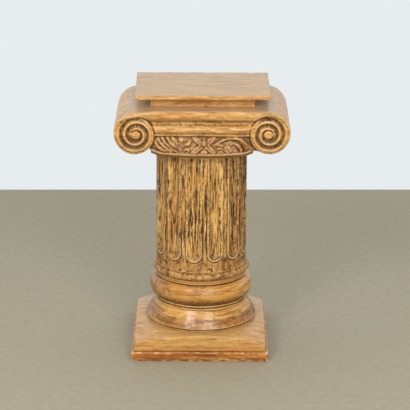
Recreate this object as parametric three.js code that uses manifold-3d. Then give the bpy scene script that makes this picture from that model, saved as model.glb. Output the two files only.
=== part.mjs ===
// A free-standing timber pedestal in the shape of a short Ionic column.
//
// From the floor up it is a plinth slab, a plinth block whose top is turned to a shallow dome,
// a turned base of a bell and a torus, a shaft with stopped flutes, a carved Ionic capital, and a
// small neck board that carries the top board.
// Millimetres, +Z up. The origin is the middle of the underside, and the front faces -Y.
import * as THREE from "three";
import { mergeVertices } from "three/addons/utils/BufferGeometryUtils.js";
import Module from "manifold-3d";

const wasm = await Module();
wasm.setup();

// ---- Driving dimensions ----

// Heights of the joints between the pieces.
const SLAB_TOP = 21;
const BLOCK_TOP = 58;
const BASE_TOP = 165;
const SHAFT_TOP = 462;
const CAPITAL_TOP = 568;
const NECK_TOP = 590;
const BOARD_TOP = 600;

// Plinth.
const SLAB_HALF = 153;
const BLOCK_HALF = 146;
const DOME_FLAT_RADIUS = 124;
const DOME_DROP = 21; // at the corners of the block

// Turned base: a bell at the bottom, then a fillet, then a torus.
const BELL_RADIUS = 125.5;
const BELL_TOP = 106;
const BELL_SWELL = 1.15; // 1 is a straight cone, and more than 1 swells
const RIM_HEIGHT = 3; // of the rim at the bell's foot
const RIM_INSET = 1.5;
const FILLET_RADIUS = 104;
const FILLET_HEIGHT = 6;
const TORUS_RADIUS = 116;
const TORUS_BOTTOM = BELL_TOP + FILLET_HEIGHT;
const TORUS_TOP = 161;

// Shaft.
const SHAFT_RADIUS = 101.2;
const ASTRAGAL_RADIUS = 109.4;
const ASTRAGAL_BOTTOM = 171;
const ASTRAGAL_TOP = 189;
const FLARE_RADIUS = 105; // where the shaft's foot meets the astragal
const FLARE_TOP = 210;
const FLUTE_COUNT = 13;
const FLUTE_HALF_WIDTH = 15;
const FLUTE_DEPTH = 7;
const FLUTE_CENTRE_OF_END = 235; // height of the centre of each flute's round lower end
const FLUTE_TURN = THREE.MathUtils.degToRad(-9.6); // the front flute stands this far left of centre

// Capital.
const CAPITAL_HALF_DEPTH = 121;
const VOLUTE_X = 144.5;
const VOLUTE_Z = 516;
const SCROLL_START = CAPITAL_TOP - VOLUTE_Z; // radius of the scroll where it leaves the top band
const SCROLL_PITCH = 16; // radius lost in one turn, and the width of the scroll's band
const SCROLL_TURNS = 2.1;
const SCROLL_STEPS = 60; // an even number
const EYE_RADIUS = 11;
const RELIEF = 5; // height of the bands above the capital's face
const ROLL_RADIUS = SCROLL_PITCH / 2;
const FACE_Y = CAPITAL_HALF_DEPTH - RELIEF;
const ROLL_Y = CAPITAL_HALF_DEPTH - ROLL_RADIUS;
const LOWER_BAND_Z = 527;
const LOWER_BAND_HALF_LENGTH = VOLUTE_X - 38;

// The echinus below the bands bows out between the volutes. Its plan is an arc of this radius,
// whose centre lies behind the column's axis.
const ECHINUS_RADIUS = 290;
const ECHINUS_CENTRE_Y = 157;
const ECHINUS_HALF_WIDTH = 115;
const ECHINUS_TOP = 519;
const LIP_TOP = 479;
const LIP_REACH = 9; // how far the lip stands out from the foot of the carved face
const FACE_LEAN = 9; // how far the carved face leans back from its foot to its top
const PANEL_Y = 109; // the carved face is never further back than this
const CARVING_RADIUS = 4;

// Boards.
const NECK_WIDTH = 228;
const NECK_DEPTH = 158;
const BOARD_WIDTH = 296;
const BOARD_DEPTH = 210;
const BOARD_CHAMFER = 2.5;

const TURNED_SIDES = 56;

// ---- Solids ----

// A closed geometry as a manifold-3d solid.
function solidOf(geometry) {
  const bare = geometry.index ? geometry.toNonIndexed() : geometry.clone();
  bare.deleteAttribute("normal");
  bare.deleteAttribute("uv");
  const merged = mergeVertices(bare, 1e-3);
  return new wasm.Manifold(
    new wasm.Mesh({
      numProp: 3,
      vertProperties: merged.attributes.position.array,
      triVerts: new Uint32Array(merged.index.array),
    }),
  );
}

function geometryOf(solid) {
  const { vertProperties, triVerts } = solid.getMesh();
  return new THREE.BufferGeometry()
    .setAttribute("position", new THREE.BufferAttribute(vertProperties, 3))
    .setIndex(new THREE.BufferAttribute(triVerts, 1));
}

const union = (solids) => solids.reduce((sum, solid) => sum.add(solid));

function box(width, depth, bottom, top) {
  return new THREE.BoxGeometry(width, depth, top - bottom).translate(0, 0, (bottom + top) / 2);
}

// A solid of revolution about Z from [radius, height] pairs, which run from the axis to the axis.
function turned(profile, sides = TURNED_SIDES) {
  const points = profile.map(([radius, height]) => new THREE.Vector2(radius, height));
  return new THREE.LatheGeometry(points, sides).rotateX(Math.PI / 2);
}

// Points on a quarter or half ellipse about (r, z), from one angle to another, in degrees.
function arc(r, z, radiusR, radiusZ, from, to, steps) {
  return Array.from({ length: steps + 1 }, (_, i) => {
    const angle = THREE.MathUtils.degToRad(from + ((to - from) * i) / steps);
    return [r + radiusR * Math.cos(angle), z + radiusZ * Math.sin(angle)];
  });
}

// ---- Plinth ----

function plinthSlab() {
  return box(2 * SLAB_HALF, 2 * SLAB_HALF, 0, SLAB_TOP);
}

// A square block cut by a turned dome, so each side has an arched shoulder.
function plinthBlock() {
  const cornerRadius = BLOCK_HALF * Math.SQRT2 + 1;
  const dome = [[0, BLOCK_TOP]];
  const steps = 5;
  for (let i = 0; i <= steps; i++) {
    const share = i / steps;
    const radius = THREE.MathUtils.lerp(DOME_FLAT_RADIUS, cornerRadius, share);
    dome.push([radius, BLOCK_TOP - DOME_DROP * share ** 2]);
  }
  const profile = [[0, SLAB_TOP], [cornerRadius, SLAB_TOP], ...dome.reverse()];
  const square = box(2 * BLOCK_HALF, 2 * BLOCK_HALF, SLAB_TOP, BLOCK_TOP);
  return geometryOf(solidOf(turned(profile)).intersect(solidOf(square)));
}

// ---- Turned base and shaft ----

function turnedBase() {
  const bellSteps = 5;
  const bellFoot = BLOCK_TOP + RIM_HEIGHT;
  const bell = Array.from({ length: bellSteps + 1 }, (_, i) => {
    const share = i / bellSteps;
    const radius = THREE.MathUtils.lerp(BELL_RADIUS, FILLET_RADIUS, share ** BELL_SWELL);
    return [radius, THREE.MathUtils.lerp(bellFoot, BELL_TOP, share)];
  });
  const torusMiddle = (TORUS_BOTTOM + TORUS_TOP) / 2;
  const torusHalf = (TORUS_TOP - TORUS_BOTTOM) / 2;
  return turned([
    [0, BLOCK_TOP],
    [BELL_RADIUS - RIM_INSET, BLOCK_TOP],
    ...bell,
    [FILLET_RADIUS, TORUS_BOTTOM],
    ...arc(SHAFT_RADIUS, torusMiddle, TORUS_RADIUS - SHAFT_RADIUS, torusHalf, -80, 80, 6),
    [SHAFT_RADIUS, TORUS_TOP],
    [SHAFT_RADIUS, BASE_TOP],
    [0, BASE_TOP],
  ]);
}

// A round-ended cutter that leaves a flute of the stated width and depth in the shaft.
function fluteCutter(angle) {
  const radius = (FLUTE_HALF_WIDTH ** 2 + FLUTE_DEPTH ** 2) / (2 * FLUTE_DEPTH);
  const length = SHAFT_TOP + 10 - FLUTE_CENTRE_OF_END;
  const profile = [...arc(0, 0, radius, radius, -90, 0, 6), [radius, length], [0, length]];
  profile[0][0] = 0;
  const reach = SHAFT_RADIUS - FLUTE_DEPTH + radius;
  return solidOf(
    turned(profile, 20).translate(
      reach * Math.sin(angle),
      -reach * Math.cos(angle),
      FLUTE_CENTRE_OF_END,
    ),
  );
}

function flutedShaft() {
  const astragalMiddle = (ASTRAGAL_BOTTOM + ASTRAGAL_TOP) / 2;
  const astragalHalf = (ASTRAGAL_TOP - ASTRAGAL_BOTTOM) / 2;
  const astragalBulge = ASTRAGAL_RADIUS - FLARE_RADIUS + 3;
  const flare = FLARE_RADIUS - SHAFT_RADIUS;
  const column = turned([
    [0, BASE_TOP],
    [SHAFT_RADIUS, BASE_TOP],
    [SHAFT_RADIUS + 1, ASTRAGAL_BOTTOM],
    ...arc(ASTRAGAL_RADIUS - astragalBulge, astragalMiddle, astragalBulge, astragalHalf, -75, 75, 6),
    [FLARE_RADIUS, ASTRAGAL_TOP + 1],
    ...arc(FLARE_RADIUS, FLARE_TOP, flare, FLARE_TOP - ASTRAGAL_TOP - 2, -120, -180, 3),
    [SHAFT_RADIUS, SHAFT_TOP],
    [0, SHAFT_TOP],
  ]);
  const pitch = (2 * Math.PI) / FLUTE_COUNT;
  const cutters = Array.from({ length: FLUTE_COUNT }, (_, i) => fluteCutter(FLUTE_TURN + i * pitch));
  return geometryOf(solidOf(column).subtract(union(cutters)));
}

// ---- Capital ----

// A point of the scroll's spiral, at a number of turns past the top of the volute and a distance
// inside its outer edge. side is -1 for the left volute and 1 for the right one.
function scrollPoint(side, turns, inset) {
  const radius = SCROLL_START - SCROLL_PITCH * turns - inset;
  const angle = 2 * Math.PI * turns;
  return [side * (VOLUTE_X + radius * Math.sin(angle)), VOLUTE_Z + radius * Math.cos(angle)];
}

// The middle line of the band that runs from the left eye along the top to the right eye.
class ScrollLine extends THREE.Curve {
  getPoint(t) {
    const side = t < 0.5 ? -1 : 1;
    const along = Math.abs(t - 0.5) * 2;
    const straight = 2 / SCROLL_STEPS; // the straight stretch is one step on either side
    if (along < straight) {
      return new THREE.Vector3((side * VOLUTE_X * along) / straight, -ROLL_Y, CAPITAL_TOP - ROLL_RADIUS);
    }
    const turns = (SCROLL_TURNS * (along - straight)) / (1 - straight);
    const [x, z] = scrollPoint(side, turns, ROLL_RADIUS);
    return new THREE.Vector3(x, -ROLL_Y, z);
  }

  // Steps follow t, so the tight inner turns get as many facets as the outer ones.
  getUtoTmapping(u) {
    return u;
  }
}

// A bar with a near-round section of few sides along a curve.
function bar(curve, radius, steps, sides = 6) {
  const section = new THREE.Shape();
  for (let i = 0; i < sides; i++) {
    const angle = (2 * Math.PI * (i + 0.5)) / sides;
    const point = [radius * Math.cos(angle), radius * Math.sin(angle)];
    if (i === 0) section.moveTo(...point);
    else section.lineTo(...point);
  }
  section.closePath();
  return solidOf(new THREE.ExtrudeGeometry(section, { extrudePath: curve, steps, bevelEnabled: false }));
}

// The block of the capital with its rolls: its outline follows the outer edge of both scrolls as
// far as the underside of the bands.
function capitalCore() {
  const steps = 18;
  const lastTurn = 0.75;
  const underside = LOWER_BAND_Z - ROLL_RADIUS;
  const scroll = (side) =>
    Array.from({ length: steps + 1 }, (_, i) => scrollPoint(side, (lastTurn * i) / steps, 0));
  const inner = VOLUTE_X - SCROLL_START + lastTurn * SCROLL_PITCH;
  const places = [...scroll(-1), [-inner, underside], [inner, underside], ...scroll(1).reverse()];
  const outline = new THREE.Shape(places.map(([x, z]) => new THREE.Vector2(x, z)));
  const block = new THREE.ExtrudeGeometry(outline, { depth: 2 * FACE_Y, bevelEnabled: false });
  return solidOf(block.rotateX(Math.PI / 2).translate(0, FACE_Y, 0));
}

// The radius of the echinus's leaning face at a height.
function faceRadius(z) {
  return ECHINUS_RADIUS - LIP_REACH - (FACE_LEAN * (z - LIP_TOP)) / (ECHINUS_TOP - LIP_TOP);
}

// The bowed body under the bands, with a rounded lip along its foot, alike at front and back.
function echinus() {
  const lipHeight = LIP_TOP - SHAFT_TOP;
  const profile = [
    [0, SHAFT_TOP],
    [ECHINUS_RADIUS - 1.6 * LIP_REACH, SHAFT_TOP],
    ...arc(ECHINUS_RADIUS - LIP_REACH, LIP_TOP - lipHeight / 3, LIP_REACH, lipHeight / 3, -60, 90, 4),
    [faceRadius(ECHINUS_TOP), ECHINUS_TOP],
    [0, ECHINUS_TOP],
  ];
  const bowed = (side) => solidOf(turned(profile, 120).translate(0, side * ECHINUS_CENTRE_Y, 0));
  const width = solidOf(box(2 * ECHINUS_HALF_WIDTH, 4 * CAPITAL_HALF_DEPTH, SHAFT_TOP, ECHINUS_TOP));
  const panel = solidOf(box(2 * ECHINUS_HALF_WIDTH, 2 * PANEL_Y, LIP_TOP - 4, ECHINUS_TOP));
  return bowed(1).intersect(bowed(-1)).intersect(width).add(panel);
}

function eye(side) {
  const half = ROLL_RADIUS;
  const profile = [
    [0, -half],
    [EYE_RADIUS, -half],
    [EYE_RADIUS, half - 3],
    [EYE_RADIUS - 4, half],
    [0, half],
  ];
  return solidOf(
    turned(profile, 16)
      .rotateX(Math.PI / 2)
      .translate(side * VOLUTE_X, -ROLL_Y, VOLUTE_Z),
  );
}

// A curved rib on the carved face of the echinus, through [x, z] places.
function rib(places) {
  const faceY = (x, z) =>
    Math.min(ECHINUS_CENTRE_Y - Math.sqrt(faceRadius(z) ** 2 - x ** 2), -PANEL_Y);
  const points = places.map(([x, z]) => new THREE.Vector3(x, faceY(x, z), z));
  return bar(new THREE.CatmullRomCurve3(points), CARVING_RADIUS, 6, 5);
}

// The carved frieze: three fronds and a curl on the left, an arched leaf and a curl on the right,
// and a flower of four petals between them.
function friezeRibs() {
  const ribs = [
    [[-102, 508], [-95, 495], [-80, 483]],
    [[-91, 511], [-80, 498], [-57, 484]],
    [[-77, 511], [-67, 500], [-46, 488]],
    [[31, 496], [46, 508], [70, 511], [90, 503], [104, 487]],
    [[73, 500], [87, 494], [95, 482]],
  ];
  const [flowerX, flowerZ] = [4, 495];
  for (const [dx, dz] of [[-27, 15], [27, 15], [-27, -13], [27, -13]]) {
    ribs.push([
      [flowerX, flowerZ],
      [flowerX + dx / 2, flowerZ + dz / 3],
      [flowerX + dx, flowerZ + dz],
    ]);
  }
  const curlRadius = 7;
  for (const [x, z] of [[-42, 503], [57, 492]]) {
    ribs.push(arc(x, z, curlRadius, curlRadius, -60, 240, 6));
  }
  return ribs.map(rib);
}

function carvedCapital() {
  const lowerBand = new THREE.LineCurve3(
    new THREE.Vector3(-LOWER_BAND_HALF_LENGTH, -ROLL_Y, LOWER_BAND_Z),
    new THREE.Vector3(LOWER_BAND_HALF_LENGTH, -ROLL_Y, LOWER_BAND_Z),
  );
  const bands = [bar(new ScrollLine(), ROLL_RADIUS, SCROLL_STEPS), bar(lowerBand, ROLL_RADIUS, 1)];
  const face = union([...bands, eye(-1), eye(1)]);
  const back = face.mirror([0, 1, 0]);
  return geometryOf(union([capitalCore(), echinus(), face, back, ...friezeRibs()]));
}

// ---- Boards ----

// The top board, with a chamfer along its lower edge.
function topBoard() {
  const halfWidth = BOARD_WIDTH / 2 - BOARD_CHAMFER;
  const halfDepth = BOARD_DEPTH / 2 - BOARD_CHAMFER;
  const sheet = new THREE.Shape([
    new THREE.Vector2(-halfWidth, -halfDepth),
    new THREE.Vector2(halfWidth, -halfDepth),
    new THREE.Vector2(halfWidth, halfDepth),
    new THREE.Vector2(-halfWidth, halfDepth),
  ]);
  const bevelled = new THREE.ExtrudeGeometry(sheet, {
    depth: BOARD_TOP - NECK_TOP,
    bevelThickness: BOARD_CHAMFER,
    bevelSize: BOARD_CHAMFER,
    bevelSegments: 1,
  }).translate(0, 0, NECK_TOP + BOARD_CHAMFER);
  const kept = solidOf(box(BOARD_WIDTH + 2, BOARD_DEPTH + 2, NECK_TOP, BOARD_TOP));
  return geometryOf(solidOf(bevelled).intersect(kept));
}

// ---- Materials and pieces ----

const timber = (color, roughness) => new THREE.MeshStandardMaterial({ color, roughness, metalness: 0 });

function piece(name, geometry, material) {
  const mesh = new THREE.Mesh(geometry, material);
  mesh.name = name;
  return mesh;
}

const pedestal = new THREE.Group();
pedestal.add(
  piece("plinth_slab", plinthSlab(), timber(0xb87838, 0.5)),
  piece("plinth_block", plinthBlock(), timber(0xc99a62, 0.45)),
  piece("turned_base", turnedBase(), timber(0xbf8a45, 0.4)),
  piece("fluted_shaft", flutedShaft(), timber(0xa87434, 0.5)),
  piece("carved_capital", carvedCapital(), timber(0xbe8746, 0.45)),
  piece("neck_board", box(NECK_WIDTH, NECK_DEPTH, CAPITAL_TOP, NECK_TOP), timber(0xc28a48, 0.5)),
  piece("top_board", topBoard(), timber(0xc9a67e, 0.45)),
);

export default pedestal;
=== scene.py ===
"""The looks of a carved timber pedestal in the shape of a short Ionic column.

Seven pieces of honey-stained wood: plinth slab, plinth block, turned base, fluted shaft, carved
capital, neck board and top board. Lengths are in metres, +Z is up and the carved front faces -Y.
The capital's carving is drawn in millimetres.
"""
import math

import bmesh
import bpy
import numpy as np
from mathutils import Matrix, Vector, kdtree, noise


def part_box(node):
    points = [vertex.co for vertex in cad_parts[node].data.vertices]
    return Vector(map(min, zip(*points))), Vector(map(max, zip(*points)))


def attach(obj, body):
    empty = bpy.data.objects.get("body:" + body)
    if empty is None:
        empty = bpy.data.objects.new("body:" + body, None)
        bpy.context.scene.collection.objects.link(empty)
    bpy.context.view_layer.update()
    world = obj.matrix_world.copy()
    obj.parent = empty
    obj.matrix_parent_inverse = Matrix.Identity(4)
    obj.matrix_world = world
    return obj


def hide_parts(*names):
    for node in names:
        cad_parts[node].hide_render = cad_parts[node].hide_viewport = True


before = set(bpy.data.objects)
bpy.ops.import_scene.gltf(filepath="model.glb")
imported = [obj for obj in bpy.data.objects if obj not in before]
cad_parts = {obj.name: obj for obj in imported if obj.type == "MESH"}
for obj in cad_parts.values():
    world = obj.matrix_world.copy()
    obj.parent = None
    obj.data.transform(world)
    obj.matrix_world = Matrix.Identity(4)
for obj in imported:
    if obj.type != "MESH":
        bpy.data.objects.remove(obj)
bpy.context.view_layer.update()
scene = bpy.context.scene

MM = 0.001
FULL_TURN = 2 * math.pi

# ---- Sizes taken from the frame ----

slab_low, slab_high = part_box("plinth_slab")
block_low, block_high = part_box("plinth_block")
base_low, base_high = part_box("turned_base")
shaft_low, shaft_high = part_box("fluted_shaft")
capital_low, capital_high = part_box("carved_capital")
neck_low, neck_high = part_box("neck_board")
board_low, board_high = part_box("top_board")

# ---- Sizes of the finer shapes ----

DOME_FLAT_RADIUS = 124 * MM
DOME_DROP = 21 * MM

BELL_TOP = 102 * MM
BELL_TOP_RADIUS = 104.6 * MM
TORUS_RADIUS = 116 * MM
TORUS_MIDDLE = 133.5 * MM
TORUS_CORE = 99 * MM

SHAFT_RADIUS = 101.2 * MM
ASTRAGAL_RADIUS = 109.4 * MM
ASTRAGAL_BOTTOM = 171.5 * MM
ASTRAGAL_TOP = 189 * MM
FLARE_RADIUS = 104.6 * MM
FLARE_TOP = 200 * MM
FLUTE_COUNT = 13
FLUTE_TURN = math.radians(-9.6)
FLUTE_END = 233 * MM
HOLLOW_HALF_WIDTH = 13.8 * MM
HOLLOW_DEPTH = 6.5 * MM
BEAD_MIDDLE = 16.4 * MM
BEAD_HALF_WIDTH = 2.3 * MM
BEAD_HEIGHT = 0.9 * MM
SCRIBED_LINE = 20 * MM
LINE_WIDTH = 1.3 * MM
LINE_DEPTH = 1.1 * MM

VOLUTE_X = 144.5 * MM
VOLUTE_Z = 516 * MM
SCROLL_START = capital_high.z - VOLUTE_Z
SCROLL_PITCH = 16 * MM
SCROLL_END = 39.5 * MM
COIL_START = 43 * MM
COIL_PITCH = 14.5 * MM
FACE_Y = -115 * MM
UNDERSIDE_OF_BANDS = 512 * MM
VOLUTE_CUT = 41 * MM
VOLUTE_CUT_WIDTH = 1.8 * MM
LEFT_VOLUTE_DROP = 1.5 * MM
ECHINUS_RADIUS = 290 * MM
ECHINUS_CENTRE_Y = 157 * MM
PANEL_HALF_WIDTH = 115 * MM
PANEL_FOOT = 476 * MM
PANEL_TOP = 514 * MM
VOXEL = 1.5 * MM
CAPITAL_SHARE_KEPT = 0.5

# Hand-fitted pieces stand a little off the column's axis, and the top board a little askew.
PLINTH_SHIFT = -2 * MM
CAPITAL_SHIFT = 1 * MM
BOARD_SHIFT = 2 * MM
BOARD_TURN = math.radians(0.6)


# ---- Making pieces ----

def link_piece(name, bm, crease_angle=40):
    """A smooth-shaded object from a bmesh, creased beyond an angle in degrees."""
    bmesh.ops.recalc_face_normals(bm, faces=bm.faces)
    mesh = bpy.data.meshes.new(name)
    bm.to_mesh(mesh)
    bm.free()
    mesh.shade_smooth()
    mesh.set_sharp_from_angle(angle=math.radians(crease_angle))
    piece = bpy.data.objects.new(name, mesh)
    scene.collection.objects.link(piece)
    return piece


def vertex_array(mesh, name):
    values = np.empty(len(mesh.vertices) * 3, np.float32)
    mesh.vertices.foreach_get(name, values)
    return values.reshape(-1, 3)


def mark_hollows(piece, fine, broad):
    """Stores how deep each point lies below the softened surface, in millimetres.

    Hollows come out positive and proud edges negative. fine and broad are the passes of
    softening, so fine sees grooves and arrises, and broad sees whole channels.
    """
    mesh = piece.data
    places = vertex_array(mesh, "co")
    normals = vertex_array(mesh, "normal")
    edges = np.empty(len(mesh.edges) * 2, np.int32)
    mesh.edges.foreach_get("vertices", edges)
    first, second = edges.reshape(-1, 2).T
    count = len(places)
    neighbours = np.bincount(first, minlength=count) + np.bincount(second, minlength=count)
    soft = places.astype(float)
    for number in range(1, broad + 1):
        total = np.empty_like(soft)
        for axis in range(3):
            total[:, axis] = np.bincount(first, soft[second, axis], count)
            total[:, axis] += np.bincount(second, soft[first, axis], count)
        soft = 0.5 * soft + 0.5 * total / neighbours[:, None]
        if number in (fine, broad):
            depth = np.einsum("ij,ij->i", soft - places, normals) / MM
            name = "fine_hollow" if number == fine else "broad_hollow"
            attribute = mesh.attributes.new(name, "FLOAT", "POINT")
            attribute.data.foreach_set("value", depth.astype(np.float32))


def finish_piece(piece, node, material):
    piece.data.materials.append(material)
    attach(piece, "root")
    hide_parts(node)


def arc(r, z, reach_r, reach_z, start, end, steps):
    """Points on an ellipse about (r, z), between two angles in degrees."""
    points = []
    for i in range(steps + 1):
        angle = math.radians(start + (end - start) * i / steps)
        points.append((r + reach_r * math.cos(angle), z + reach_z * math.sin(angle)))
    return points


def ring(r, z, reach_r, reach_z, start, end, steps):
    """An arc whose lengths are given in millimetres."""
    return arc(r * MM, z * MM, reach_r * MM, reach_z * MM, start, end, steps)


def spin_outline(bm, outline, steps):
    """Turns an outline of (radius, height) points, which runs from axis to axis, a full turn."""
    verts = [bm.verts.new((r, 0, z)) for r, z in outline]
    edges = [bm.edges.new(pair) for pair in zip(verts, verts[1:])]
    bmesh.ops.spin(
        bm, geom=verts + edges, axis=(0, 0, 1), angle=FULL_TURN, steps=steps, use_merge=True
    )
    bmesh.ops.remove_doubles(bm, verts=bm.verts, dist=0.01 * MM)


def hand_worn(bm, amount, size, seed):
    """Moves every point a little along its normal, as hand tools and wear leave a surface."""
    bm.normal_update()
    shift = Vector((seed, seed * 0.7, seed * 1.3))
    for vert in bm.verts:
        wave = noise.noise(vert.co / size + shift)
        ripple = noise.noise(vert.co / (size * 0.28) - shift)
        vert.co += vert.normal * amount * (wave + 0.45 * ripple)


def board(low, high, bevel, cuts):
    """A bevelled board between two corners, with enough faces to be worn."""
    bm = bmesh.new()
    size = high - low
    middle = (low + high) / 2
    bmesh.ops.create_cube(bm, size=1, matrix=Matrix.Translation(middle) @ Matrix.Diagonal((*size, 1)))
    bmesh.ops.bevel(
        bm, geom=bm.edges[:], offset=bevel, segments=3, profile=0.5,
        affect="EDGES", material=-1, clamp_overlap=True,
    )
    for axis, count in enumerate(cuts):
        for i in range(1, count):
            plane = low.copy()
            plane[axis] = low[axis] + size[axis] * i / count
            normal = Vector((0, 0, 0))
            normal[axis] = 1
            bmesh.ops.bisect_plane(
                bm, geom=bm.verts[:] + bm.edges[:] + bm.faces[:], plane_co=plane, plane_no=normal,
                dist=0.01 * MM,
            )
    return bm


def clamp_heights(bm, low, high):
    for vert in bm.verts:
        vert.co.z = min(max(vert.co.z, low), high)


def worn_arris(bm, low, high, reach, bite, size, seed):
    """Bites irregular wear out of a board's long edges, most where two sides meet."""
    shift = Vector((seed, 0, -seed))
    middle = (low + high) / 2
    half = (high - low) / 2
    for vert in bm.verts:
        gaps = [half[i] - abs(vert.co[i] - middle[i]) for i in range(3)]
        gaps.sort()
        nearness = max(0.0, 1 - gaps[1] / reach)
        if nearness > 0:
            wear = max(0.0, noise.noise(vert.co / size + shift) + 0.15)
            inward = (middle - vert.co).normalized()
            inward.z = math.copysign(0.5, inward.z)
            vert.co += inward * bite * wear * nearness


def worn_board(name, low, high, bevel, cuts, arris, wear, shift, turn=0.0):
    """A board with bitten edges. arris and wear are what worn_arris and hand_worn are given."""
    bm = board(low, high, bevel, cuts)
    worn_arris(bm, low, high, *arris)
    hand_worn(bm, *wear)
    clamp_heights(bm, low.z, high.z)
    bmesh.ops.rotate(bm, verts=bm.verts, cent=(0, 0, 0), matrix=Matrix.Rotation(turn, 3, "Z"))
    bmesh.ops.translate(bm, verts=bm.verts, vec=(shift, 0, 0))
    return link_piece(name, bm)


# ---- Plinth ----

def plinth_slab():
    arris = (6 * MM, 2.2 * MM, 22 * MM, 3.1)
    wear = (0.25 * MM, 40 * MM, 1.7)
    return worn_board("plinth_slab_worn", slab_low, slab_high, 1.6 * MM, (60, 60, 4), arris, wear,
                      PLINTH_SHIFT)


def dome_height(x, y):
    """How far the turned dome has dropped below the block's top at a place."""
    corner = block_high.x * math.sqrt(2) + MM
    share = max(0.0, math.hypot(x, y) - DOME_FLAT_RADIUS) / (corner - DOME_FLAT_RADIUS)
    return DOME_DROP * share ** 2


def plinth_block():
    bm = board(block_low, block_high, 1.8 * MM, (64, 64, 6))
    full = block_high.z - block_low.z
    for vert in bm.verts:
        share = (vert.co.z - block_low.z) / full
        vert.co.z = block_low.z + share * (full - dome_height(vert.co.x, vert.co.y))
    hand_worn(bm, 0.35 * MM, 45 * MM, 5.3)
    clamp_heights(bm, block_low.z, block_high.z)
    bmesh.ops.translate(bm, verts=bm.verts, vec=(PLINTH_SHIFT, 0, 0))
    return link_piece("plinth_block_domed", bm)


# ---- Turned base ----

def bell_outline(foot, top, steps):
    """The bell's side, which leaves its foot a little more steeply than it reaches its top."""
    swell = 1.15
    outline = []
    for i in range(steps + 1):
        share = i / steps
        radius = base_high.x + (BELL_TOP_RADIUS - base_high.x) * share ** swell
        outline.append((radius, foot + (top - foot) * share))
    return outline


def turned_base():
    floor = base_low.z
    outline = [(0, floor), (122 * MM, floor)]
    outline += arc(122.6 * MM, floor + 1.7 * MM, 1.9 * MM, 1.7 * MM, -80, 80, 6)
    outline += [(122.6 * MM, floor + 4.3 * MM)]
    outline += bell_outline(floor + 5 * MM, BELL_TOP, 26)[1:]
    # The bell's rounded lip, a groove, a fillet and the quirk under the torus.
    outline += ring(103.2, 104, 2.4, 1.9, -70, 80, 5)
    outline += ring(103.3, 107.5, 1.8, 1.7, 260, 100, 4)
    outline += ring(102.6, 110.8, 2.7, 1.7, -70, 70, 4)
    outline += ring(102, 114.3, 1.9, 1.9, 265, 180, 3)
    # The torus is fuller above its middle. A quirk and a fillet end it.
    bulge = TORUS_RADIUS - TORUS_CORE
    outline += arc(TORUS_CORE, TORUS_MIDDLE, bulge, 19.5 * MM, -76, 0, 14)
    outline += arc(TORUS_CORE, TORUS_MIDDLE, bulge, 27 * MM, 0, 74, 16)[1:]
    outline += ring(101.6, 161, 1.5, 1.4, 250, 120, 3)
    outline += ring(100.8, 163.6, 2.4, 1.4, -60, 85, 4)
    outline += [(TORUS_CORE, base_high.z), (0, base_high.z)]
    bm = bmesh.new()
    spin_outline(bm, outline, 260)
    hand_worn(bm, 0.45 * MM, 38 * MM, 8.9)
    clamp_heights(bm, base_low.z, base_high.z)
    return link_piece("turned_base_rings", bm, 60)


# ---- Fluted shaft ----

def smooth_step(low, high, value):
    """Eases from 0 at low to 1 at high. low may be the greater of the two."""
    share = min(max((value - low) / (high - low), 0.0), 1.0)
    return share * share * (3 - 2 * share)


def flute_relief(angle, height):
    """How far the surface stands out at an angle and height: hollows in, beads out."""
    pitch = FULL_TURN / FLUTE_COUNT
    nearest = round((angle - FLUTE_TURN) / pitch)
    aside = (angle - FLUTE_TURN - nearest * pitch) * SHAFT_RADIUS
    # The round ends stand at uneven heights, and the sides wander.
    end = FLUTE_END + 3 * MM * noise.noise(Vector((nearest * 5.1, 0.3, 0.7)))
    below = max(0.0, end - height)
    away = math.hypot(aside, below)
    side = Vector((nearest * 3.7, height / (14 * MM), 0.5 if aside > 0 else 4.5))
    away += noise.noise(side) * 1.6 * MM * (1 - smooth_step(0, 10 * MM, below))
    relief = 0.0
    if away < HOLLOW_HALF_WIDTH:
        relief -= HOLLOW_DEPTH * (1 - (away / HOLLOW_HALF_WIDTH) ** 2) ** 0.75
    # The beads and lines are worn fainter above the round ends.
    crisp = 1 - 0.45 * smooth_step(end, end + 60 * MM, height)
    bead = (away - BEAD_MIDDLE) / BEAD_HALF_WIDTH
    if abs(bead) < 1:
        relief += crisp * BEAD_HEIGHT * math.sqrt(1 - bead * bead)
    for groove in (HOLLOW_HALF_WIDTH + 0.2 * MM, SCRIBED_LINE):
        line = (away - groove) / LINE_WIDTH
        relief -= crisp * LINE_DEPTH * math.exp(-line * line)
    return relief


def shaft_outline():
    """The foot with its astragal and flare, then rings close together where the flutes end."""
    low = shaft_low.z
    close_until = 250 * MM
    outline = [(0, low), (99 * MM, low), (99.8 * MM, low + 1.5 * MM), (100.4 * MM, low + 4.5 * MM)]
    middle = (ASTRAGAL_BOTTOM + ASTRAGAL_TOP) / 2
    outline += arc(101 * MM, middle, ASTRAGAL_RADIUS - 101 * MM, 8.6 * MM, -80, 76, 16)
    outline += ring(104, 190, 1.2, 1.3, 250, 150, 3)
    reach = FLARE_RADIUS - SHAFT_RADIUS + 0.6 * MM
    outline += arc(FLARE_RADIUS + 0.6 * MM, FLARE_TOP, reach, 8.5 * MM, 250, 180, 7)
    height = FLARE_TOP
    while height < close_until:
        height += 1.5 * MM
        outline.append((SHAFT_RADIUS, height))
    while height < shaft_high.z - 4 * MM:
        height += 3.5 * MM
        outline.append((SHAFT_RADIUS, height))
    outline += [(SHAFT_RADIUS, shaft_high.z), (0, shaft_high.z)]
    return outline


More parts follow.
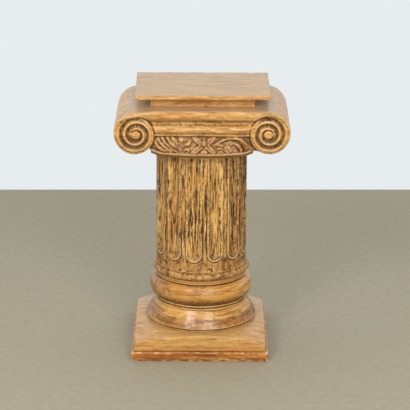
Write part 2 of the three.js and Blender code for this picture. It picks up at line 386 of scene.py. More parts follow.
def fluted_shaft():
    bm = bmesh.new()
    spin_outline(bm, shaft_outline(), FLUTE_COUNT * 44)
    fade_low = FLARE_TOP + 4 * MM
    for vert in bm.verts:
        radius = math.hypot(vert.co.x, vert.co.y)
        if vert.co.z < fade_low or radius < SHAFT_RADIUS - MM:
            continue
        angle = math.atan2(vert.co.x, -vert.co.y)
        scale = 1 + flute_relief(angle, vert.co.z) / radius
        vert.co.x *= scale
        vert.co.y *= scale
    hand_worn(bm, 0.3 * MM, 26 * MM, 12.4)
    clamp_heights(bm, shaft_low.z, shaft_high.z)
    return link_piece("fluted_shaft_carved", bm, 70)


# ---- Capital ----

def curved_path(points, steps):
    """Points spread evenly along a smooth curve through a few (x, z) places in millimetres."""
    places = [Vector(point) for point in points]
    ends = [2 * places[0] - places[1]] + places + [2 * places[-1] - places[-2]]
    path = []
    for i in range(steps + 1):
        share = i / steps * (len(places) - 1)
        k = min(int(share), len(places) - 2)
        t = share - k
        a, b, c, d = ends[k:k + 4]
        path.append(0.5 * (2 * b + (c - a) * t + (2 * a - 5 * b + 4 * c - d) * t * t
                           + (3 * b - 3 * c + d - a) * t ** 3))
    return np.array(path)


def distance_along(places, path):
    """For each (x, z) place, how far it is from a path and where along it, from 0 to 1."""
    best = np.full(len(places), np.inf)
    along = np.zeros(len(places))
    steps = len(path) - 1
    for i in range(steps):
        start, reach = path[i], path[i + 1] - path[i]
        share = np.clip((places - start) @ reach / max(reach @ reach, 1e-9), 0, 1)
        gap = np.linalg.norm(places - start - share[:, None] * reach, axis=1)
        nearer = gap < best
        best[nearer] = gap[nearer]
        along[nearer] = (i + share[nearer]) / steps
    return best, along


class Carving:
    """Raised leaves and cut grooves on a face, drawn in millimetres."""

    def __init__(self, places):
        self.places = places
        self.relief = np.zeros(len(places))

    def leaf(self, points, width, height, blunt=0.3, steps=24):
        """A rounded ridge that swells in its middle and thins towards its ends."""
        gap, along = distance_along(self.places, curved_path(points, steps))
        swell = blunt + (1 - blunt) * np.sqrt(np.clip(np.sin(np.pi * along), 0, 1))
        share = np.clip(gap / (width * swell), 0, 1)
        self.relief = np.maximum(self.relief, height * swell ** 0.5 * np.sqrt(1 - share ** 2))

    def groove(self, points, width, depth=2.4, steps=24):
        gap, along = distance_along(self.places, curved_path(points, steps))
        fade = np.clip(4 * np.minimum(along, 1 - along) + 0.35, 0, 1)
        self.relief -= depth * fade * np.exp(-(gap / width) ** 2)

    def boss(self, x, z, radius_x, radius_z, height):
        share = ((self.places - (x, z)) / (radius_x, radius_z)) ** 2
        dome = np.sqrt(np.clip(1 - share.sum(axis=1), 0, 1))
        self.relief = np.where(dome > 0, np.maximum(self.relief, height * dome), self.relief)


def leafy_panel(places):
    """The front's frieze: fronds and a curl, a four-lobed flower, and an arched leaf over a coil."""
    carving = Carving(places)
    leaf, groove, boss = carving.leaf, carving.groove, carving.boss
    # Fronds that sweep in from the left volute.
    leaf(((-103, 503), (-98, 493), (-88, 484), (-78, 479)), 4.6, 3.4)
    leaf(((-97, 508), (-90, 498), (-80, 487), (-66, 479)), 4.6, 3.8)
    leaf(((-88, 511), (-80, 500), (-68, 488), (-54, 480)), 4.8, 4.2)
    leaf(((-77, 511), (-69, 501), (-58, 491), (-44, 483)), 4.6, 3.8)
    leaf(((-66, 511), (-60, 503), (-52, 495)), 4.4, 3.2)
    groove(((-101, 507), (-96, 498), (-88, 489), (-76, 483)), 1.6)
    groove(((-92, 510), (-87, 502), (-77, 491), (-62, 482)), 1.6)
    groove(((-84, 510), (-76, 498), (-64, 487), (-48, 481)), 1.9, 3.0)
    groove(((-72, 509), (-65, 499), (-55, 489), (-42, 483)), 1.6)
    # The curl, with a pale leaf beside it.
    boss(-45, 504, 7, 6.5, 3.4)
    leaf(((-38, 493), (-31, 496), (-25, 503)), 5.2, 3.8)
    groove(((-55, 511), (-53, 502), (-48, 494), (-40, 489), (-29, 489)), 2.4, 3.6)
    groove(((-50, 509), (-42, 510), (-39, 503), (-44, 499)), 1.4, 2.2)
    leaf(((-40, 483), (-33, 485), (-27, 480)), 3.4, 2.8)
    groove(((-38, 480), (-32, 481), (-28, 478)), 1.2, 2.0)
    # The flower's four lobes, each with a rim round a sunk middle.
    for aside, end in ((-1, (-23, 479)), (1, (31, 479)), (-1, (-20, 507)), (1, (29, 507))):
        lobe = ((4 + 3 * aside, 494), (4 + 13 * aside, (2 * 494 + 3 * end[1]) / 5), end)
        leaf(lobe, 7.2, 4.4, 0.45)
        groove(lobe, 2.0, 2.4)
    # The waisted frame that holds it, and the notches between the lobes.
    groove(((-25, 511), (-20, 502), (-13, 494), (-20, 486), (-28, 478)), 2.2, 3.8)
    groove(((34, 509), (28, 501), (22, 494), (27, 486), (33, 478)), 2.2, 3.8)
    groove(((-14, 510), (4, 503), (20, 510)), 2.6, 2.6)
    groove(((-11, 477), (4, 485), (18, 477)), 1.8, 3.2)
    leaf(((-3, 478), (4, 481), (11, 478)), 2.6, 2.6)
    boss(4.5, 497.5, 5.6, 6.6, 5.4)
    middle_rim = ((-2.5, 497), (1, 505), (8, 505), (11.5, 497), (8, 490), (1, 490), (-2.5, 497))
    groove(middle_rim, 1.3, 2.6)
    groove(((4.5, 502), (4.5, 493)), 0.9, 1.4)
    # The arched leaf on the right, with its coil, its inner leaf and the small leaf beside them.
    arch = ((29, 494), (39, 500.5), (50, 505.5), (63, 508.5), (76, 508.5), (88, 504), (99, 495),
            (106, 484))
    leaf(arch, 4.2, 4.8, 0.5, 40)
    leaf(((80, 503), (92, 495), (99, 483)), 4.0, 3.2)
    groove(((41, 497), (54, 502), (67, 503), (78, 500), (86, 492), (90, 479)), 2.0, 3.6, 30)
    groove(((90, 506), (99, 498), (104, 487)), 1.3, 1.8)
    leaf(((67, 498), (77, 494), (84, 486), (86, 479)), 4.0, 4.0)
    groove(((65, 494), (73, 491), (79, 485), (81, 478)), 1.5, 2.6)
    boss(57, 487, 9.5, 9.5, 3.0)
    coil = []
    for i in range(9):
        radius, angle = 9.2 - 0.9 * i, 2.2 - 0.75 * i
        coil.append((57 + radius * math.cos(angle), 487 + radius * math.sin(angle)))
    groove(coil, 1.5, 3.0, 48)
    leaf(((32, 491), (39, 494), (47, 490)), 2.8, 3.0)
    leaf(((33, 485), (40, 487), (47, 483)), 2.8, 3.0)
    leaf(((35, 479), (41, 481), (48, 477)), 2.6, 2.6)
    groove(((32, 488), (40, 490.5), (48, 486.5)), 1.2, 2.2)
    groove(((34, 482), (41, 484), (48, 480)), 1.2, 2.2)
    groove(((-26, 511.5), (0, 511.5), (34, 511.5)), 1.6, 2.2)
    return carving.relief


def plain_panel(places):
    """The back's frieze: plain fronds that lean outwards from the middle."""
    carving = Carving(places)
    for aside in (-1, 1):
        for start in (14, 34, 54, 74):
            frond = ((aside * start, 481), (aside * (start + 10), 494), (aside * (start + 27), 506))
            carving.leaf(frond, 5.0, 3.4)
            carving.groove([(x + aside * 8, z - 3) for x, z in frond], 1.5)
    carving.boss(0, 494, 7, 10, 4)
    return carving.relief


def closed_slab(bm, back):
    """Gives an open skin that faces forwards its sides and a flat back."""
    grown = bmesh.ops.extrude_face_region(bm, geom=bm.faces[:], use_keep_orig=True)["geom"]
    for item in grown:
        if isinstance(item, bmesh.types.BMVert):
            item.co.y = back
    return bm


def gathered(shells):
    """One bmesh that holds every shell, side by side."""
    bm = bmesh.new()
    for shell in shells:
        mesh = bpy.data.meshes.new("shell")
        shell.to_mesh(mesh)
        shell.free()
        bm.from_mesh(mesh)
        bpy.data.meshes.remove(mesh)
    return bm


def panel_face(x, z):
    """The carved face stands nearly flat under the bands, and bows out towards its foot."""
    foot = math.sqrt((ECHINUS_RADIUS - 4 * MM) ** 2 - x ** 2) - ECHINUS_CENTRE_Y
    top = 112 * MM
    least = 108 * MM
    share = min(max((z - PANEL_FOOT) / (PANEL_TOP - PANEL_FOOT), 0.0), 1.0)
    return max(foot + (top - foot) * share ** 0.8, least)


def end_rise(x):
    """How far the panel's foot and the lip climb towards the volutes."""
    start = 84 * MM
    share = max(0.0, abs(x) - start) / (PANEL_HALF_WIDTH - start)
    return 8 * MM * share * share


def carved_panel(frieze):
    """The frieze between the volutes. Its drawing is cut a quarter deeper than drawn."""
    bm = bmesh.new()
    made = bmesh.ops.create_grid(bm, x_segments=230, y_segments=40, size=1)["verts"]
    for vert in made:
        x = vert.co.x * PANEL_HALF_WIDTH
        foot = PANEL_FOOT + end_rise(x)
        z = foot + (vert.co.y + 1) / 2 * (PANEL_TOP - foot)
        vert.co = (x, 0, z)
    # The drawing's foot line drops towards its ends with the bow.
    places = np.array([(v.co.x / MM, v.co.z / MM + 3 * (v.co.x / MM / 105) ** 2) for v in made])
    relief = frieze(places)
    for vert, height in zip(made, relief):
        vert.co.y = -panel_face(vert.co.x, vert.co.z) - 1.25 * height * MM + 2.5 * MM
    return closed_slab(bm, -80 * MM)


def echinus_lip():
    """The bowed lip under the frieze, and the cove that runs back from it to the shaft."""
    bm = bmesh.new()
    low = capital_low.z
    back = 200 * MM
    profile = [(back, low), (ECHINUS_RADIUS - 21 * MM, low)]
    profile += arc(ECHINUS_RADIUS - 19 * MM, low + 9.5 * MM, 14 * MM, 9 * MM, -65, -8, 6)
    profile += arc(ECHINUS_RADIUS - 3.6 * MM, low + 11.5 * MM, 3 * MM, 2.2 * MM, -95, 95, 7)
    profile += [(ECHINUS_RADIUS - 8 * MM, low + 15 * MM), (back, low + 15 * MM)]
    reach = math.asin(PANEL_HALF_WIDTH / ECHINUS_RADIUS)
    verts = [bm.verts.new((0, ECHINUS_CENTRE_Y - r, z)) for r, z in profile]
    face = bm.faces.new(verts)
    middle = (0, ECHINUS_CENTRE_Y, 0)
    bmesh.ops.rotate(bm, verts=verts, cent=middle, matrix=Matrix.Rotation(-reach, 3, "Z"))
    bmesh.ops.spin(bm, geom=[face], cent=middle, axis=(0, 0, 1), angle=2 * reach, steps=60)
    for vert in bm.verts:
        vert.co.z += end_rise(vert.co.x)
    return bm


def rounded(offset, half, height):
    """The height of a rounded bar at an offset from its middle."""
    share = offset / half
    return height * math.sqrt(1 - share * share) if abs(share) < 1 else 0.0


def band_relief(z):
    """The section of the bands, in mm: a broad roll, a soft channel, a second roll and a foot."""
    relief = rounded(z - 556.5, 11, 6)
    relief = max(relief, rounded(z - 526.3, 9.2, 5.8))
    return max(relief, 2.2 * smooth_step(519, 515, z))


def bands():
    """The bands between the volutes. They sink where the coils stand, behind a cut outline."""
    bm = bmesh.new()
    low, high = UNDERSIDE_OF_BANDS, capital_high.z
    half = VOLUTE_X + 2 * MM
    roll_top = 534 * MM
    sunk = -4 * MM
    made = bmesh.ops.create_grid(bm, x_segments=190, y_segments=60, size=1)["verts"]
    for vert in made:
        x = vert.co.x * half
        z = low + (vert.co.y + 1) / 2 * (high - low)
        relief = band_relief(z / MM) * MM
        # Splits run along the lower roll.
        split = noise.noise(Vector((x / (22 * MM), z / (2.2 * MM), 2.2)))
        if z < roll_top and split > 0.12:
            relief -= 2.6 * MM * (split - 0.12)
        away = math.hypot(abs(x) - VOLUTE_X, z - VOLUTE_Z)
        cut = (away - VOLUTE_CUT) / VOLUTE_CUT_WIDTH
        relief -= 3.6 * MM * math.exp(-cut * cut)
        if away < VOLUTE_CUT - MM:
            relief = sunk
        vert.co = (x, FACE_Y - relief, z)
    return closed_slab(bm, -90 * MM)


def coil_edge(turn):
    """The radius of the volute's outline, a fraction of a turn past its top."""
    return max(SCROLL_START - SCROLL_PITCH * turn, SCROLL_END)


def volute_relief(radius, turn):
    """Height in mm of the coil at a radius in mm, a fraction of a turn past the volute's top."""
    edge = coil_edge(turn) / MM
    lead = (COIL_START / MM - radius) / (COIL_PITCH / MM) - turn
    coil = max(round(lead), 0)
    offset = (lead - coil) * COIL_PITCH / MM
    taper = 1 - 0.11 * (turn + coil)
    floor = -1.6
    eye = 11
    relief = floor + rounded(offset, 4.4 * taper, 6.6 * (0.7 + 0.3 * taper))
    rim = floor + rounded(edge - radius - 2.9, 2.9, 5.6) * smooth_step(0.98, 0.8, turn)
    relief = max(relief, rim)
    # The upper roll of the bands runs on over the top of the volute and dies into its coil.
    if turn < 0.25 and radius > SCROLL_END / MM:
        as_band = 1 - smooth_step(0.04, 0.2, turn)
        band = band_relief(VOLUTE_Z / MM + radius * math.cos(FULL_TURN * turn))
        relief += (band - relief) * as_band
        relief -= 3.0 * as_band * math.exp(-((radius * MM - VOLUTE_CUT) / VOLUTE_CUT_WIDTH) ** 2)
    if radius < eye + 0.5:
        relief = rounded(radius, 10.2, 2.8) + (2.2 if radius < 9.6 else 0)
    return relief - 2.0 * math.exp(-((radius - eye) / 1.3) ** 2)


def volute(side):
    """A round face of rings and spokes, drawn out to the scroll's outline and carved."""
    rings, spokes = 46, 200
    bm = bmesh.new()
    verts = [bm.verts.new((0, 0, i / rings)) for i in range(rings + 1)]
    edges = [bm.edges.new(pair) for pair in zip(verts, verts[1:])]
    bmesh.ops.spin(
        bm, geom=verts + edges, axis=(0, 1, 0), angle=FULL_TURN, steps=spokes, use_merge=True
    )
    bmesh.ops.remove_doubles(bm, verts=bm.verts, dist=0.01 * MM)
    for vert in bm.verts:
        turn = math.atan2(side * vert.co.x, vert.co.z) / FULL_TURN % 1.0
        edge = coil_edge(turn)
        relief = volute_relief(vert.co.length * edge / MM, turn) * MM
        middle = VOLUTE_Z - (LEFT_VOLUTE_DROP if side < 0 else 0)
        vert.co = (side * VOLUTE_X + vert.co.x * edge, FACE_Y - relief, middle + vert.co.z * edge)
    return closed_slab(bm, -96 * MM)


def capital_core():
    """The block with its four rolls, cut to the outline of the scrolls."""
    bm = bmesh.new()
    steps = 60
    last = 0.75
    front = FACE_Y + 4 * MM
    scroll = []
    for i in range(steps + 1):
        turn = last * i / steps
        angle = FULL_TURN * turn
        radius = coil_edge(turn)
        scroll.append((-VOLUTE_X - radius * math.sin(angle), VOLUTE_Z + radius * math.cos(angle)))
    scroll.append((coil_edge(last) - VOLUTE_X, UNDERSIDE_OF_BANDS))
    outline = scroll + [(-x, z) for x, z in reversed(scroll)]
    face = bm.faces.new([bm.verts.new((x, front, z)) for x, z in outline])
    grown = bmesh.ops.extrude_face_region(bm, geom=[face])["geom"]
    moved = [item for item in grown if isinstance(item, bmesh.types.BMVert)]
    bmesh.ops.translate(bm, verts=moved, vec=(0, -2 * front, 0))
    return bm


def echinus_heart():
    """The solid wood between the front and back friezes, under the rolls."""
    low, high = capital_low.z + 0.5 * MM, UNDERSIDE_OF_BANDS + 3 * MM
    size = Vector((2 * PANEL_HALF_WIDTH - 6 * MM, 164 * MM, high - low))
    bm = bmesh.new()
    place = Matrix.Translation((0, 0, (low + high) / 2)) @ Matrix.Diagonal((*size, 1))
    bmesh.ops.create_cube(bm, size=1, matrix=place)
    return bm


def fuse(bm, voxel):
    """Joins overlapping shells into one carved skin, and softens it."""
    bmesh.ops.recalc_face_normals(bm, faces=bm.faces)
    rough = bpy.data.meshes.new("rough")
    bm.to_mesh(rough)
    bm.free()
    holder = bpy.data.objects.new("rough", rough)
    scene.collection.objects.link(holder)
    remesh = holder.modifiers.new("fuse", "REMESH")
    remesh.mode = "VOXEL"
    remesh.voxel_size = voxel
    skin = evaluated_bmesh(holder)
    bpy.data.objects.remove(holder)
    bpy.data.meshes.remove(rough)
    bmesh.ops.smooth_vert(
        skin, verts=skin.verts, factor=0.5, use_axis_x=True, use_axis_y=True, use_axis_z=True
    )
    return skin


def evaluated_bmesh(holder):
    """The mesh of an object with its modifiers applied."""
    bpy.context.view_layer.update()
    shaped = holder.evaluated_get(bpy.context.evaluated_depsgraph_get())
    mesh = shaped.to_mesh()
    bm = bmesh.new()
    bm.from_mesh(mesh)
    shaped.to_mesh_clear()
    return bm


def lightened(piece, ratio):
    """Thins the flat parts of a dense piece, and keeps what mark_hollows stored."""
    dense = piece.data
    tree = kdtree.KDTree(len(dense.vertices))
    for i, place in enumerate(vertex_array(dense, "co")):
        tree.insert(place, i)
    tree.balance()
    thin = piece.modifiers.new("thin", "DECIMATE")
    thin.ratio = ratio
    bm = evaluated_bmesh(piece)
    piece.modifiers.clear()
    mesh = bpy.data.meshes.new(piece.name)
    bm.to_mesh(mesh)
    bm.free()
    mesh.shade_smooth()
    nearest = np.array([tree.find(place)[1] for place in vertex_array(mesh, "co")])
    for name in ("fine_hollow", "broad_hollow"):
        values = np.empty(len(dense.vertices), np.float32)
        dense.attributes[name].data.foreach_get("value", values)
        kept = mesh.attributes.get(name) or mesh.attributes.new(name, "FLOAT", "POINT")
        kept.data.foreach_set("value", values[nearest])
    piece.data = mesh
    bpy.data.meshes.remove(dense)


def capital_front(frieze, facing):
    """The carved shells of one long side. facing is 1 for the front and -1 for the back."""
    bm = gathered([volute(-1), volute(1), bands(), carved_panel(frieze), echinus_lip()])
    bmesh.ops.scale(bm, vec=(1, facing, 1), verts=bm.verts)
    return bm


def carved_capital():
    bm = gathered([
        capital_core(), echinus_heart(), capital_front(leafy_panel, 1), capital_front(plain_panel, -1),
    ])
    skin = fuse(bm, VOXEL)
    round_left_scroll(skin)
    hand_worn(skin, 0.4 * MM, 30 * MM, 21.7)
    clamp_heights(skin, capital_low.z, capital_high.z)
    bmesh.ops.translate(skin, verts=skin.verts, vec=(CAPITAL_SHIFT, 0, 0))
    return link_piece("ionic_capital", skin, 80)


def round_left_scroll(bm):
    """The front left scroll is rubbed down lower than its neighbour along its top edge."""
    middle = -150 * MM
    for vert in bm.verts:
        x, y, z = vert.co
        aside = 1 - smooth_step(0, 58 * MM, abs(x - middle))
        forward = smooth_step(80 * MM, 118 * MM, -y)
        upper = smooth_step(545 * MM, 566 * MM, z)
        vert.co.z -= 5 * MM * aside * forward * upper


# ---- Boards ----

def neck_board():
    arris = (5 * MM, 1.5 * MM, 20 * MM, 6.3)
    wear = (0.25 * MM, 35 * MM, 31.0)
    return worn_board("neck_board_worn", neck_low, neck_high, 1.4 * MM, (40, 28, 3), arris, wear,
                      BOARD_SHIFT)


def top_board():
    arris = (6 * MM, 2.4 * MM, 16 * MM, 9.1)
    wear = (0.3 * MM, 40 * MM, 44.2)
    return worn_board("top_board_worn", board_low, board_high, 1.8 * MM, (70, 50, 3), arris, wear,
                      BOARD_SHIFT, BOARD_TURN)


# ---- Finishes ----

def new_group(name, colours, vectors, values, second=None):
    """A shader node group with named inputs. It gives out a colour, and a second value if named."""
    group = bpy.data.node_groups.new(name, "ShaderNodeTree")
    for labels, kind in ((colours, "Color"), (vectors, "Vector"), (values, "Float")):
        for label in labels:
            group.interface.new_socket(label, in_out="INPUT", socket_type="NodeSocket" + kind)
    group.interface.new_socket("Color", in_out="OUTPUT", socket_type="NodeSocketColor")
    if second:
        group.interface.new_socket(second, in_out="OUTPUT", socket_type="NodeSocketFloat")
    entry = group.nodes.new("NodeGroupInput")
    leave = group.nodes.new("NodeGroupOutput")
    return group, entry.outputs, leave.inputs


class Bench:
    """Adds nodes to a tree, with short ways to write sums, masks and mixes."""

    def __init__(self, tree):
        self.tree = tree

    def node(self, kind, **settings):
        made = self.tree.nodes.new(kind)
        for name, value in settings.items():
            setattr(made, name, value)
        return made

    def join(self, value, socket):
        if isinstance(value, bpy.types.NodeSocket):
            self.tree.links.new(value, socket)
        else:
            socket.default_value = value

    def group(self, tree, **values):
        """Places a node group. A value's underscores stand for the spaces in its socket's name."""
        made = self.node("ShaderNodeGroup", node_tree=tree)
        for label, value in values.items():
            self.join(value, made.inputs[label.replace("_", " ")])
        return made.outputs

    def math(self, operation, *values):
        made = self.node("ShaderNodeMath", operation=operation)
        for value, socket in zip(values, made.inputs):
            self.join(value, socket)
        return made.outputs[0]

    def mask(self, value, low, high, full=1.0, least=0.0):
        """Eases from least, where the value is low, to full, where it is high."""
        made = self.node("ShaderNodeMapRange", interpolation_type="SMOOTHSTEP")
        for given, socket in zip((value, low, high, least, full), made.inputs):
            self.join(given, socket)
        return made.outputs[0]

    def mix(self, factor, first, second, blend="MIX"):
        made = self.node("ShaderNodeMix", data_type="RGBA", blend_type=blend)
        self.join(factor, made.inputs[0])
        self.join(first, made.inputs[6])
        self.join(second, made.inputs[7])
        return made.outputs[2]

    def noise(self, place, size, detail=4.0, roughness=0.55, distortion=0.0):
        made = self.node("ShaderNodeTexNoise")
        self.join(place, made.inputs["Vector"])
        for label, value in (("Scale", size), ("Detail", detail), ("Roughness", roughness),
                             ("Distortion", distortion)):
            self.join(value, made.inputs[label])
        return made.outputs["Fac"]

    def stretch(self, place, scale):
        made = self.node("ShaderNodeMapping", vector_type="POINT")
        self.join(place, made.inputs["Vector"])
        made.inputs["Scale"].default_value = scale
        return made.outputs[0]

    def axes(self, vector):
        made = self.node("ShaderNodeSeparateXYZ")
        self.join(vector, made.inputs[0])
        return made.outputs

    def attribute(self, name):
        return self.node("ShaderNodeAttribute", attribute_name=name).outputs["Fac"]


def linear(red, green, blue):
    """A display colour, 0 to 255 a channel, as the linear colour that shaders use."""
    channels = []
    for value in (red, green, blue):
        share = value / 255
        channels.append(share / 12.92 if share <= 0.04045 else ((share + 0.055) / 1.055) ** 2.4)
    return (*channels, 1.0)


def new_material(name):
    """A material with its bench and its main shader node."""
    material = bpy.data.materials.new(name)
    material.use_nodes = True
    tree = material.node_tree
    return material, Bench(tree), tree.nodes["Principled BSDF"]


def timber_group():
    """Wood colour from drawn-out noise: broad figure, dark fibres and short pores."""
    group, given, out = new_group(
        "timber_grain", ("Light", "Middle", "Dark"), ("Grain Place", "Place"), ("Fibre", "Pores"),
        "Height",
    )
    bench = Bench(group)
    figure = bench.noise(given["Grain Place"], 1.0, 5.0, 0.6, 0.6)
    fibres = bench.noise(given["Grain Place"], 4.2, 4.0, 0.65, 0.2)
    patches = bench.noise(given["Place"], 24.0, 3.0, 0.5, 0.3)
    colour = bench.mix(bench.mask(figure, 0.34, 0.6), given["Middle"], given["Light"])
    colour = bench.mix(bench.mask(patches, 0.5, 0.78, 0.5), colour, given["Middle"])
    streak = bench.mask(fibres, 0.5, 0.36, given["Fibre"])
    colour = bench.mix(streak, colour, given["Dark"])
    short = bench.noise(bench.stretch(given["Grain Place"], (3.1, 3.1, 3.1)), 3.0, 2.0, 0.6, 0.0)
    pores = bench.mask(short, 0.62, 0.7, given["Pores"])
    colour = bench.mix(pores, colour, given["Dark"])
    group.links.new(colour, out["Color"])
    height = bench.math("MULTIPLY_ADD", fibres, 0.7, bench.math("MULTIPLY", pores, -0.6))
    group.links.new(height, out["Height"])
    return group


def glaze_and_shade_group():
    """Dark glazing in grooves and channels, which also paints their shade, painted shade on surfaces
    that face down, glazing in streaks and blots, and a darker tint, partly painted shade, in given
    places.
    """
    group, given, out = new_group(
        "dark_glaze_and_shade", ("Color", "Wash", "Glaze"), ("Grain Place", "Place"),
        ("Fine Hollow", "Fine Start", "Fine Full", "Broad Hollow", "Broad Start", "Broad Full",
         "Facing Up", "Underside", "Streaks", "Streak Start", "Blots", "Dirt"), "Mask",
    )
    bench = Bench(group)
    ragged = bench.math("SUBTRACT", bench.noise(given["Place"], 190.0, 3.0, 0.6), 0.5)
    # Glazing gathers in grooves and channels, and the same mask paints their shade: deeper hollows come
    # out darker.
    fine = bench.math("MULTIPLY_ADD", ragged, 0.9, given["Fine Hollow"])
    mask = bench.mask(fine, given["Fine Start"], given["Fine Full"], 0.95)
    broad = bench.math("MULTIPLY_ADD", ragged, 1.4, given["Broad Hollow"])
    wide = bench.mask(broad, given["Broad Start"], given["Broad Full"], 0.8)
    mask = bench.math("MAXIMUM", mask, wide)
    # Painted shade: surfaces that face down are darkened with the glazing colour, as shade falls under
    # mouldings.
    below = bench.math("MULTIPLY_ADD", ragged, 0.8, given["Facing Up"])
    below = bench.mask(below, 0.1, -0.75, given["Underside"])
    mask = bench.math("MAXIMUM", mask, below)
    runs = bench.noise(given["Grain Place"], 2.1, 3.0, 0.55, 0.7)
    high = bench.math("ADD", given["Streak Start"], 0.08)
    streaks = bench.mask(runs, given["Streak Start"], high, given["Streaks"])
    spots = bench.noise(given["Place"], 70.0, 5.0, 0.7, 0.6)
    # In the given darkened places there are more blots and a darker tint: grime in some places, painted
    # shade in others.
    spots = bench.math("MULTIPLY_ADD", given["Dirt"], 0.1, spots)
    blots = bench.mask(spots, 0.6, 0.72, given["Blots"])
    mask = bench.math("MAXIMUM", mask, bench.math("MAXIMUM", streaks, blots))
    dirt_and_shade_wash = bench.mask(bench.math("MULTIPLY_ADD", ragged, 1.2, given["Dirt"]), 0.35, 1.1, 0.75)
    colour = bench.mix(dirt_and_shade_wash, given["Color"], given["Wash"], "MULTIPLY")
    group.links.new(bench.mix(mask, colour, given["Glaze"]), out["Color"])
    group.links.new(mask, out["Mask"])
    return group


def rubbed_and_highlight_group():
    """Paler wood where edges have been rubbed through the staining, and a painted highlight where
    Hollow carries broad crests.
    """
    group, given, out = new_group(
        "rubbed_edges_and_highlight", ("Color", "Bare Wood"), ("Place",), ("Hollow", "Reach", "Amount")
    )
    bench = Bench(group)
    patchy = bench.math("SUBTRACT", bench.noise(given["Place"], 120.0, 3.0, 0.6), 0.55)
    proud = bench.math("MULTIPLY", given["Hollow"], -1.0)
    proud = bench.math("MULTIPLY_ADD", patchy, 0.6, proud)
    mask = bench.mask(proud, 0.08, given["Reach"], given["Amount"])
    group.links.new(bench.mix(mask, given["Color"], given["Bare Wood"]), out["Color"])
    return group


def split_group():
    """A hairline split at one bearing from the front, between two heights."""
    group, given, out = new_group(
        "hairline_split", ("Color", "Glaze"), ("Place",), ("Bearing", "Low", "High")
    )
    bench = Bench(group)
    turned = bench.node("ShaderNodeVectorRotate", rotation_type="Z_AXIS")
    bench.join(given["Place"], turned.inputs["Vector"])
    bench.join(bench.math("MULTIPLY", given["Bearing"], -1.0), turned.inputs["Angle"])
    spot = bench.axes(turned.outputs[0])
    wander = bench.math("SUBTRACT", bench.noise(given["Place"], 90.0, 2.0), 0.5)
    aside = bench.math("ABSOLUTE", bench.math("MULTIPLY_ADD", wander, 4 * MM, spot["X"]))
    mask = bench.mask(aside, 1.2 * MM, 0.4 * MM, 0.5)
    mask = bench.mask(spot["Y"], 0.01, -0.01, mask)
    mask = bench.mask(spot["Z"], given["Low"], bench.math("ADD", given["Low"], 2 * MM), mask)
    mask = bench.mask(spot["Z"], given["High"], bench.math("SUBTRACT", given["High"], 4 * MM), mask)
    group.links.new(bench.mix(mask, given["Color"], given["Glaze"]), out["Color"])
    return group


def dusty_group():
    """A pale bloom on the surfaces that face up."""
    group, given, out = new_group("dusty_tops", ("Color", "Dust"), (), ("Facing Up", "Amount"))
    bench = Bench(group)
    mask = bench.mask(given["Facing Up"], 0.75, 0.98, given["Amount"])
    group.links.new(bench.mix(mask, given["Color"], given["Dust"]), out["Color"])
    return group


timber = timber_group()
glaze_and_shade = glaze_and_shade_group()
rubbed = rubbed_and_highlight_group()
dusty = dusty_group()
split = split_group()

LIGHT_HONEY = linear(242, 188, 102)
HONEY = linear(214, 144, 56)
BROWN = linear(138, 78, 24)
# The glazing colour, also used as painted shade in hollows and under mouldings.
GLAZE_AND_SHADE = linear(62, 29, 7)
# Bare wood of rubbed edges, also a painted highlight along broad crests.
BARE_WOOD_AND_HIGHLIGHT = linear(248, 206, 138)
DUST = linear(210, 190, 168)
# The darker tint of the given darkened places, partly painted shade.
DIRT_AND_SHADE_WASH = (0.58, 0.47, 0.34, 1.0)


